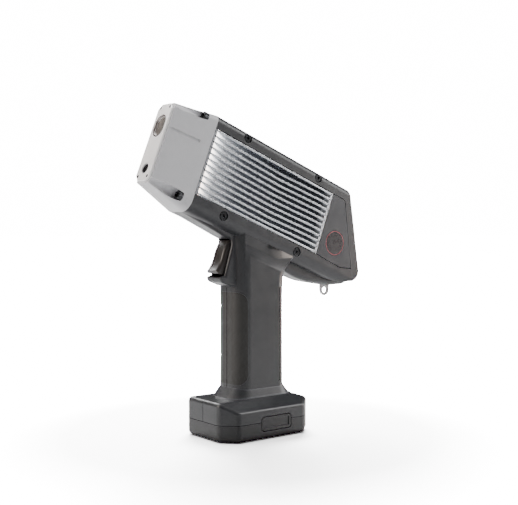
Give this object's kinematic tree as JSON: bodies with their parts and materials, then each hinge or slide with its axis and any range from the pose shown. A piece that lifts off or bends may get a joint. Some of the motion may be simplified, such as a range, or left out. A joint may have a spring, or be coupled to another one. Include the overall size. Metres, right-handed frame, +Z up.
{
  "type": "handheld xrf analyzer",
  "caption": "Pistol-grip x-ray fluorescence analyzer: finned head pitched nose up, tapered measuring nose with a window, trigger, and a drop-in battery foot.",
  "frame": {"origin": "centre of the battery foot's flat underside, on the parting plane", "axes": "+Z up, -Y towards the measuring nose, +X the instrument's left side"},
  "size_m": [0.066, 0.2152, 0.2668],
  "materials": {
    "shell": "fine moulded grain",
    "nose_casting": "light grey paint",
    "nose_face": "pale silver paint",
    "heat_sink": "dark anodised, brighter fin crests",
    "side_panel": "satin",
    "badge": "satin",
    "badge_ring": "red lacquer",
    "bezel": "satin",
    "display_glass": "dark glossy cover glass",
    "electronics": "circuit board",
    "dark_module": "matt",
    "soft_grip": "matt soft rubber",
    "trigger": "satin",
    "battery": "moulded grain",
    "latch_button": "satin",
    "power_button": "silicone",
    "screw_steel": "zinc plated",
    "window": "dark film",
    "window_ring": "anodised",
    "lens": "polished",
    "inner_metal": "machined",
    "cell": "sleeved",
    "contacts": "plated"
  },
  "bodies": {
    "root": {"badge_left": "badge", "badge_right": "badge", "badge_ring_left": "badge_ring", "badge_ring_right": "badge_ring", "camera_lens": "lens", "cap_screws": "screw_steel", "chassis": "inner_metal", "contact_block": "dark_module", "data_socket": "dark_module", "detector": "inner_metal", "display_glass": "display_glass", "display_module": "dark_module", "front_grip_left": "soft_grip", "front_grip_right": "soft_grip", "handle_board": "electronics", "handle_screws": "screw_steel", "heat_sink_left": "heat_sink", "heat_sink_right": "heat_sink", "hv_supply": "dark_module", "key_board": "electronics", "lanyard_tab": "screw_steel", "main_board": "electronics", "nose_block": "nose_casting", "nose_plate": "nose_face", "plate_screws": "screw_steel", "port_cover": "soft_grip", "rear_bezel": "bezel", "rear_strip_left": "soft_grip", "rear_strip_right": "soft_grip", "shell_left": "shell", "shell_right": "shell", "side_panel_left": "side_panel", "side_panel_right": "side_panel", "side_screws": "screw_steel", "trigger_bracket": "inner_metal", "trigger_pin": "screw_steel", "trigger_spring": "screw_steel", "trigger_switch": "dark_module", "window_film": "window", "window_ring": "window_ring", "xray_tube": "inner_metal"},
    "trigger": {"trigger": "trigger"},
    "battery": {"battery_case": "battery", "battery_lid": "battery", "battery_cells": "cell", "battery_terminals": "contacts", "latch_spring_left": "screw_steel", "latch_spring_right": "screw_steel"},
    "latch_left": {"latch_button_left": "latch_button"},
    "latch_right": {"latch_button_right": "latch_button"},
    "power": {"power_button": "power_button"}
  },
  "joints": [
    {"name": "trigger_pull", "type": "hinge", "parent": "root", "child": "trigger", "pos_m": [0, -0.0195, 0.1545], "axis": [1, 0, 0], "range_deg": [0, 6], "stiffness_Nm_per_rad": 2, "springref_deg": -2.86, "deforming": ["trigger_spring"]},
    {"name": "battery_slide", "type": "slide", "parent": "root", "child": "battery", "axis": [0, 0, -1], "range_m": [0, 0.06]},
    {"name": "latch_left_press", "type": "slide", "parent": "battery", "child": "latch_left", "axis": [-1, 0, 0], "range_m": [0, 0.0015], "stiffness_N_per_m": 600, "springref_m": -0.002, "deforming": ["latch_spring_left"]},
    {"name": "latch_right_press", "type": "slide", "parent": "battery", "child": "latch_right", "axis": [1, 0, 0], "range_m": [0, 0.0015], "stiffness_N_per_m": 600, "springref_m": -0.002, "deforming": ["latch_spring_right"]},
    {"name": "power_press", "type": "slide", "parent": "root", "child": "power", "axis": [0, -0.9888, -0.1495], "range_m": [0, 0.0008], "stiffness_N_per_m": 900, "springref_m": -0.001}
  ]
}
